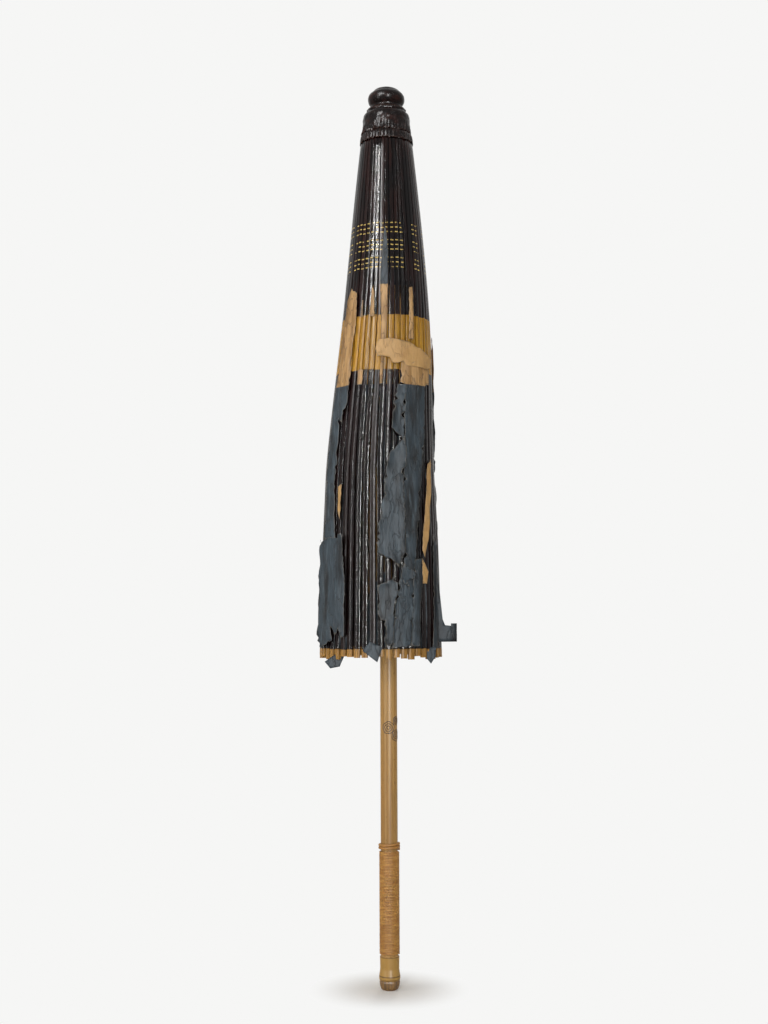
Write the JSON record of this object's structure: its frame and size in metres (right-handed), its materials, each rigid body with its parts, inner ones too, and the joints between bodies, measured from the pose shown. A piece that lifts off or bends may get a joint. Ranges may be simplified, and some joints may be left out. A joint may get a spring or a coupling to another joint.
{
  "type": "oil paper umbrella",
  "caption": "Folded oil paper umbrella with lacquered bamboo ribs, a sliding runner, a bamboo shaft and a cane-bound grip.",
  "frame": {"origin": "centre of the flat face at the butt end of the shaft", "axes": "+Z along the shaft towards the crown, +X through the first main rib and the catch"},
  "size_m": [0.1054, 0.1054, 0.78],
  "materials": {
    "black_lacquer": "gloss lacquer over paper and wood",
    "lacquered_bamboo": "gloss black lacquer on bamboo",
    "bamboo": "bare polished bamboo",
    "cane": "varnished split cane",
    "hub_wood": "bare wood",
    "thread": "waxed cotton",
    "oiled_paper": "oiled paper, worn",
    "dark_cap": "dark lacquer"
  },
  "bodies": {
    "frame": {"shaft": "bamboo", "butt_cap": "dark_cap", "grip_wrap": "cane", "grip_binding": "cane", "top_hub": "hub_wood", "hub_thread": "thread", "crown_collar": "black_lacquer", "crown_knob": "black_lacquer", "crown_pin": "hub_wood"},
    "runner": {"runner_hub": "hub_wood", "runner_thread": "thread"},
    "catch": {"catch_spring": "bamboo"},
    "rib_01": {"rib_01": "lacquered_bamboo"},
    "stretcher_01": {"stretcher_01": "bamboo"},
    "stretcher_group_01": {"stretcher_group_01": "bamboo"},
    "gore_01": {"gore_01": "oiled_paper"},
    "rib_02": {"rib_02": "lacquered_bamboo"},
    "stretcher_02": {"stretcher_02": "bamboo"},
    "stretcher_group_02": {"stretcher_group_02": "bamboo"},
    "gore_02": {"gore_02": "oiled_paper"},
    "rib_03": {"rib_03": "lacquered_bamboo"},
    "stretcher_03": {"stretcher_03": "bamboo"},
    "stretcher_group_03": {"stretcher_group_03": "bamboo"},
    "gore_03": {"gore_03": "oiled_paper"},
    "rib_04": {"rib_04": "lacquered_bamboo"},
    "stretcher_04": {"stretcher_04": "bamboo"},
    "stretcher_group_04": {"stretcher_group_04": "bamboo"},
    "gore_04": {"gore_04": "oiled_paper"},
    "rib_05": {"rib_05": "lacquered_bamboo"},
    "stretcher_05": {"stretcher_05": "bamboo"},
    "stretcher_group_05": {"stretcher_group_05": "bamboo"},
    "gore_05": {"gore_05": "oiled_paper"},
    "rib_06": {"rib_06": "lacquered_bamboo"},
    "stretcher_06": {"stretcher_06": "bamboo"},
    "stretcher_group_06": {"stretcher_group_06": "bamboo"},
    "gore_06": {"gore_06": "oiled_paper"},
    "rib_07": {"rib_07": "lacquered_bamboo"},
    "stretcher_07": {"stretcher_07": "bamboo"},
    "stretcher_group_07": {"stretcher_group_07": "bamboo"},
    "gore_07": {"gore_07": "oiled_paper"},
    "rib_08": {"rib_08": "lacquered_bamboo"},
    "stretcher_08": {"stretcher_08": "bamboo"},
    "stretcher_group_08": {"stretcher_group_08": "bamboo"},
    "gore_08": {"gore_08": "oiled_paper"},
    "rib_09": {"rib_09": "lacquered_bamboo"},
    "stretcher_09": {"stretcher_09": "bamboo"},
    "stretcher_group_09": {"stretcher_group_09": "bamboo"},
    "gore_09": {"gore_09": "oiled_paper"},
    "rib_10": {"rib_10": "lacquered_bamboo"},
    "stretcher_10": {"stretcher_10": "bamboo"},
    "stretcher_group_10": {"stretcher_group_10": "bamboo"},
    "gore_10": {"gore_10": "oiled_paper"},
    "rib_11": {"rib_11": "lacquered_bamboo"},
    "stretcher_11": {"stretcher_11": "bamboo"},
    "stretcher_group_11": {"stretcher_group_11": "bamboo"},
    "gore_11": {"gore_11": "oiled_paper"},
    "rib_12": {"rib_12": "lacquered_bamboo"},
    "stretcher_12": {"stretcher_12": "bamboo"},
    "stretcher_group_12": {"stretcher_group_12": "bamboo"},
    "gore_12": {"gore_12": "oiled_paper"}
  },
  "joints": [
    {"name": "umbrella_open", "type": "hinge", "parent": "frame", "child": "rib_01", "pos_m": [0.015, 0, 0.7375], "axis": [0, -1, 0], "range_deg": [0, 56.45], "deforming": ["catch_spring", "gore_01", "stretcher_group_01", "gore_02", "stretcher_group_02", "gore_03", "stretcher_group_03", "gore_04", "stretcher_group_04", "gore_05", "stretcher_group_05", "gore_06", "stretcher_group_06", "gore_07", "stretcher_group_07", "gore_08", "stretcher_group_08", "gore_09", "stretcher_group_09", "gore_10", "stretcher_group_10", "gore_11", "stretcher_group_11", "gore_12", "stretcher_group_12"]},
    {"name": "rib_hinge_02", "type": "hinge", "parent": "frame", "child": "rib_02", "pos_m": [0.01299, 0.0075, 0.7375], "axis": [0.5, -0.866, 0], "range_deg": [0, 56.45]},
    {"name": "rib_hinge_03", "type": "hinge", "parent": "frame", "child": "rib_03", "pos_m": [0.0075, 0.01299, 0.7375], "axis": [0.866, -0.5, 0], "range_deg": [0, 56.45]},
    {"name": "rib_hinge_04", "type": "hinge", "parent": "frame", "child": "rib_04", "pos_m": [0, 0.015, 0.7375], "axis": [1, 0, 0], "range_deg": [0, 56.45]},
    {"name": "rib_hinge_05", "type": "hinge", "parent": "frame", "child": "rib_05", "pos_m": [-0.0075, 0.01299, 0.7375], "axis": [0.866, 0.5, 0], "range_deg": [0, 56.45]},
    {"name": "rib_hinge_06", "type": "hinge", "parent": "frame", "child": "rib_06", "pos_m": [-0.01299, 0.0075, 0.7375], "axis": [0.5, 0.866, 0], "range_deg": [0, 56.45]},
    {"name": "rib_hinge_07", "type": "hinge", "parent": "frame", "child": "rib_07", "pos_m": [-0.015, 0, 0.7375], "axis": [0, 1, 0], "range_deg": [0, 56.45]},
    {"name": "rib_hinge_08", "type": "hinge", "parent": "frame", "child": "rib_08", "pos_m": [-0.01299, -0.0075, 0.7375], "axis": [-0.5, 0.866, 0], "range_deg": [0, 56.45]},
    {"name": "rib_hinge_09", "type": "hinge", "parent": "frame", "child": "rib_09", "pos_m": [-0.0075, -0.01299, 0.7375], "axis": [-0.866, 0.5, 0], "range_deg": [0, 56.45]},
    {"name": "rib_hinge_10", "type": "hinge", "parent": "frame", "child": "rib_10", "pos_m": [0, -0.015, 0.7375], "axis": [-1, 0, 0], "range_deg": [0, 56.45]},
    {"name": "rib_hinge_11", "type": "hinge", "parent": "frame", "child": "rib_11", "pos_m": [0.0075, -0.01299, 0.7375], "axis": [-0.866, -0.5, 0], "range_deg": [0, 56.45]},
    {"name": "rib_hinge_12", "type": "hinge", "parent": "frame", "child": "rib_12", "pos_m": [0.01299, -0.0075, 0.7375], "axis": [-0.5, -0.866, 0], "range_deg": [0, 56.45]},
    {"name": "mid_hinge_01", "type": "hinge", "parent": "rib_01", "child": "stretcher_01", "pos_m": [0.03481, 0, 0.53346], "axis": [0, -1, 0], "range_deg": [-112.91, 0]},
    {"name": "gore_unfold_01", "type": "hinge", "parent": "rib_01", "child": "gore_01", "pos_m": [0, 0, 0.74555], "axis": [0.8575, 0.2298, -0.4603], "range_deg": [0, 28.13]},
    {"name": "group_unfold_01", "type": "hinge", "parent": "stretcher_01", "child": "stretcher_group_01", "pos_m": [0, 0, 0.32137], "axis": [-0.8575, -0.2298, -0.4603], "range_deg": [0, 28.13]},
    {"name": "mid_hinge_02", "type": "hinge", "parent": "rib_02", "child": "stretcher_02", "pos_m": [0.03015, 0.01741, 0.53346], "axis": [0.5, -0.866, 0], "range_deg": [-112.91, 0]},
    {"name": "gore_unfold_02", "type": "hinge", "parent": "rib_02", "child": "gore_02", "pos_m": [0, 0, 0.74555], "axis": [0.6277, 0.6277, -0.4603], "range_deg": [0, 28.13]},
    {"name": "group_unfold_02", "type": "hinge", "parent": "stretcher_02", "child": "stretcher_group_02", "pos_m": [0, 0, 0.32137], "axis": [-0.6277, -0.6277, -0.4603], "range_deg": [0, 28.13]},
    {"name": "mid_hinge_03", "type": "hinge", "parent": "rib_03", "child": "stretcher_03", "pos_m": [0.01741, 0.03015, 0.53346], "axis": [0.866, -0.5, 0], "range_deg": [-112.91, 0]},
    {"name": "gore_unfold_03", "type": "hinge", "parent": "rib_03", "child": "gore_03", "pos_m": [0, 0, 0.74555], "axis": [0.2298, 0.8575, -0.4603], "range_deg": [0, 28.13]},
    {"name": "group_unfold_03", "type": "hinge", "parent": "stretcher_03", "child": "stretcher_group_03", "pos_m": [0, 0, 0.32137], "axis": [-0.2298, -0.8575, -0.4603], "range_deg": [0, 28.13]},
    {"name": "mid_hinge_04", "type": "hinge", "parent": "rib_04", "child": "stretcher_04", "pos_m": [0, 0.03481, 0.53346], "axis": [1, 0, 0], "range_deg": [-112.91, 0]},
    {"name": "gore_unfold_04", "type": "hinge", "parent": "rib_04", "child": "gore_04", "pos_m": [0, 0, 0.74555], "axis": [-0.2298, 0.8575, -0.4603], "range_deg": [0, 28.13]},
    {"name": "group_unfold_04", "type": "hinge", "parent": "stretcher_04", "child": "stretcher_group_04", "pos_m": [0, 0, 0.32137], "axis": [0.2298, -0.8575, -0.4603], "range_deg": [0, 28.13]},
    {"name": "mid_hinge_05", "type": "hinge", "parent": "rib_05", "child": "stretcher_05", "pos_m": [-0.01741, 0.03015, 0.53346], "axis": [0.866, 0.5, 0], "range_deg": [-112.91, 0]},
    {"name": "gore_unfold_05", "type": "hinge", "parent": "rib_05", "child": "gore_05", "pos_m": [0, 0, 0.74555], "axis": [-0.6277, 0.6277, -0.4603], "range_deg": [0, 28.13]},
    {"name": "group_unfold_05", "type": "hinge", "parent": "stretcher_05", "child": "stretcher_group_05", "pos_m": [0, 0, 0.32137], "axis": [0.6277, -0.6277, -0.4603], "range_deg": [0, 28.13]},
    {"name": "mid_hinge_06", "type": "hinge", "parent": "rib_06", "child": "stretcher_06", "pos_m": [-0.03015, 0.01741, 0.53346], "axis": [0.5, 0.866, 0], "range_deg": [-112.91, 0]},
    {"name": "gore_unfold_06", "type": "hinge", "parent": "rib_06", "child": "gore_06", "pos_m": [0, 0, 0.74555], "axis": [-0.8575, 0.2298, -0.4603], "range_deg": [0, 28.13]},
    {"name": "group_unfold_06", "type": "hinge", "parent": "stretcher_06", "child": "stretcher_group_06", "pos_m": [0, 0, 0.32137], "axis": [0.8575, -0.2298, -0.4603], "range_deg": [0, 28.13]},
    {"name": "mid_hinge_07", "type": "hinge", "parent": "rib_07", "child": "stretcher_07", "pos_m": [-0.03481, 0, 0.53346], "axis": [0, 1, 0], "range_deg": [-112.91, 0]},
    {"name": "gore_unfold_07", "type": "hinge", "parent": "rib_07", "child": "gore_07", "pos_m": [0, 0, 0.74555], "axis": [-0.8575, -0.2298, -0.4603], "range_deg": [0, 28.13]},
    {"name": "group_unfold_07", "type": "hinge", "parent": "stretcher_07", "child": "stretcher_group_07", "pos_m": [0, 0, 0.32137], "axis": [0.8575, 0.2298, -0.4603], "range_deg": [0, 28.13]},
    {"name": "mid_hinge_08", "type": "hinge", "parent": "rib_08", "child": "stretcher_08", "pos_m": [-0.03015, -0.01741, 0.53346], "axis": [-0.5, 0.866, 0], "range_deg": [-112.91, 0]},
    {"name": "gore_unfold_08", "type": "hinge", "parent": "rib_08", "child": "gore_08", "pos_m": [0, 0, 0.74555], "axis": [-0.6277, -0.6277, -0.4603], "range_deg": [0, 28.13]},
    {"name": "group_unfold_08", "type": "hinge", "parent": "stretcher_08", "child": "stretcher_group_08", "pos_m": [0, 0, 0.32137], "axis": [0.6277, 0.6277, -0.4603], "range_deg": [0, 28.13]},
    {"name": "mid_hinge_09", "type": "hinge", "parent": "rib_09", "child": "stretcher_09", "pos_m": [-0.01741, -0.03015, 0.53346], "axis": [-0.866, 0.5, 0], "range_deg": [-112.91, 0]},
    {"name": "gore_unfold_09", "type": "hinge", "parent": "rib_09", "child": "gore_09", "pos_m": [0, 0, 0.74555], "axis": [-0.2298, -0.8575, -0.4603], "range_deg": [0, 28.13]},
    {"name": "group_unfold_09", "type": "hinge", "parent": "stretcher_09", "child": "stretcher_group_09", "pos_m": [0, 0, 0.32137], "axis": [0.2298, 0.8575, -0.4603], "range_deg": [0, 28.13]},
    {"name": "mid_hinge_10", "type": "hinge", "parent": "rib_10", "child": "stretcher_10", "pos_m": [0, -0.03481, 0.53346], "axis": [-1, 0, 0], "range_deg": [-112.91, 0]},
    {"name": "gore_unfold_10", "type": "hinge", "parent": "rib_10", "child": "gore_10", "pos_m": [0, 0, 0.74555], "axis": [0.2298, -0.8575, -0.4603], "range_deg": [0, 28.13]},
    {"name": "group_unfold_10", "type": "hinge", "parent": "stretcher_10", "child": "stretcher_group_10", "pos_m": [0, 0, 0.32137], "axis": [-0.2298, 0.8575, -0.4603], "range_deg": [0, 28.13]},
    {"name": "mid_hinge_11", "type": "hinge", "parent": "rib_11", "child": "stretcher_11", "pos_m": [0.01741, -0.03015, 0.53346], "axis": [-0.866, -0.5, 0], "range_deg": [-112.91, 0]},
    {"name": "gore_unfold_11", "type": "hinge", "parent": "rib_11", "child": "gore_11", "pos_m": [0, 0, 0.74555], "axis": [0.6277, -0.6277, -0.4603], "range_deg": [0, 28.13]},
    {"name": "group_unfold_11", "type": "hinge", "parent": "stretcher_11", "child": "stretcher_group_11", "pos_m": [0, 0, 0.32137], "axis": [-0.6277, 0.6277, -0.4603], "range_deg": [0, 28.13]},
    {"name": "mid_hinge_12", "type": "hinge", "parent": "rib_12", "child": "stretcher_12", "pos_m": [0.03015, -0.01741, 0.53346], "axis": [-0.5, -0.866, 0], "range_deg": [-112.91, 0]},
    {"name": "gore_unfold_12", "type": "hinge", "parent": "rib_12", "child": "gore_12", "pos_m": [0, 0, 0.74555], "axis": [0.8575, -0.2298, -0.4603], "range_deg": [0, 28.13]},
    {"name": "group_unfold_12", "type": "hinge", "parent": "stretcher_12", "child": "stretcher_group_12", "pos_m": [0, 0, 0.32137], "axis": [-0.8575, 0.2298, -0.4603], "range_deg": [0, 28.13]},
    {"name": "runner_pivot", "type": "hinge", "parent": "stretcher_01", "child": "runner", "pos_m": [0.015, 0, 0.32942], "axis": [0, -1, 0], "range_deg": [0, 56.45]},
    {"name": "catch_press", "type": "hinge", "parent": "frame", "child": "catch", "pos_m": [0.0017, 0, 0.47522], "axis": [0, -1, 0], "range_deg": [0, 5.2], "stiffness_Nm_per_rad": 1.5}
  ],
  "couplings": [
    {"joint": "mid_hinge_01", "follows": "umbrella_open", "ratio": -2},
    {"joint": "gore_unfold_01", "follows": "umbrella_open", "ratio": 0.4982},
    {"joint": "group_unfold_01", "follows": "umbrella_open", "ratio": 0.4982},
    {"joint": "rib_hinge_02", "follows": "umbrella_open", "ratio": 1},
    {"joint": "mid_hinge_02", "follows": "umbrella_open", "ratio": -2},
    {"joint": "gore_unfold_02", "follows": "umbrella_open", "ratio": 0.4982},
    {"joint": "group_unfold_02", "follows": "umbrella_open", "ratio": 0.4982},
    {"joint": "rib_hinge_03", "follows": "umbrella_open", "ratio": 1},
    {"joint": "mid_hinge_03", "follows": "umbrella_open", "ratio": -2},
    {"joint": "gore_unfold_03", "follows": "umbrella_open", "ratio": 0.4982},
    {"joint": "group_unfold_03", "follows": "umbrella_open", "ratio": 0.4982},
    {"joint": "rib_hinge_04", "follows": "umbrella_open", "ratio": 1},
    {"joint": "mid_hinge_04", "follows": "umbrella_open", "ratio": -2},
    {"joint": "gore_unfold_04", "follows": "umbrella_open", "ratio": 0.4982},
    {"joint": "group_unfold_04", "follows": "umbrella_open", "ratio": 0.4982},
    {"joint": "rib_hinge_05", "follows": "umbrella_open", "ratio": 1},
    {"joint": "mid_hinge_05", "follows": "umbrella_open", "ratio": -2},
    {"joint": "gore_unfold_05", "follows": "umbrella_open", "ratio": 0.4982},
    {"joint": "group_unfold_05", "follows": "umbrella_open", "ratio": 0.4982},
    {"joint": "rib_hinge_06", "follows": "umbrella_open", "ratio": 1},
    {"joint": "mid_hinge_06", "follows": "umbrella_open", "ratio": -2},
    {"joint": "gore_unfold_06", "follows": "umbrella_open", "ratio": 0.4982},
    {"joint": "group_unfold_06", "follows": "umbrella_open", "ratio": 0.4982},
    {"joint": "rib_hinge_07", "follows": "umbrella_open", "ratio": 1},
    {"joint": "mid_hinge_07", "follows": "umbrella_open", "ratio": -2},
    {"joint": "gore_unfold_07", "follows": "umbrella_open", "ratio": 0.4982},
    {"joint": "group_unfold_07", "follows": "umbrella_open", "ratio": 0.4982},
    {"joint": "rib_hinge_08", "follows": "umbrella_open", "ratio": 1},
    {"joint": "mid_hinge_08", "follows": "umbrella_open", "ratio": -2},
    {"joint": "gore_unfold_08", "follows": "umbrella_open", "ratio": 0.4982},
    {"joint": "group_unfold_08", "follows": "umbrella_open", "ratio": 0.4982},
    {"joint": "rib_hinge_09", "follows": "umbrella_open", "ratio": 1},
    {"joint": "mid_hinge_09", "follows": "umbrella_open", "ratio": -2},
    {"joint": "gore_unfold_09", "follows": "umbrella_open", "ratio": 0.4982},
    {"joint": "group_unfold_09", "follows": "umbrella_open", "ratio": 0.4982},
    {"joint": "rib_hinge_10", "follows": "umbrella_open", "ratio": 1},
    {"joint": "mid_hinge_10", "follows": "umbrella_open", "ratio": -2},
    {"joint": "gore_unfold_10", "follows": "umbrella_open", "ratio": 0.4982},
    {"joint": "group_unfold_10", "follows": "umbrella_open", "ratio": 0.4982},
    {"joint": "rib_hinge_11", "follows": "umbrella_open", "ratio": 1},
    {"joint": "mid_hinge_11", "follows": "umbrella_open", "ratio": -2},
    {"joint": "gore_unfold_11", "follows": "umbrella_open", "ratio": 0.4982},
    {"joint": "group_unfold_11", "follows": "umbrella_open", "ratio": 0.4982},
    {"joint": "rib_hinge_12", "follows": "umbrella_open", "ratio": 1},
    {"joint": "mid_hinge_12", "follows": "umbrella_open", "ratio": -2},
    {"joint": "gore_unfold_12", "follows": "umbrella_open", "ratio": 0.4982},
    {"joint": "group_unfold_12", "follows": "umbrella_open", "ratio": 0.4982},
    {"joint": "runner_pivot", "follows": "umbrella_open", "ratio": 1}
  ]
}
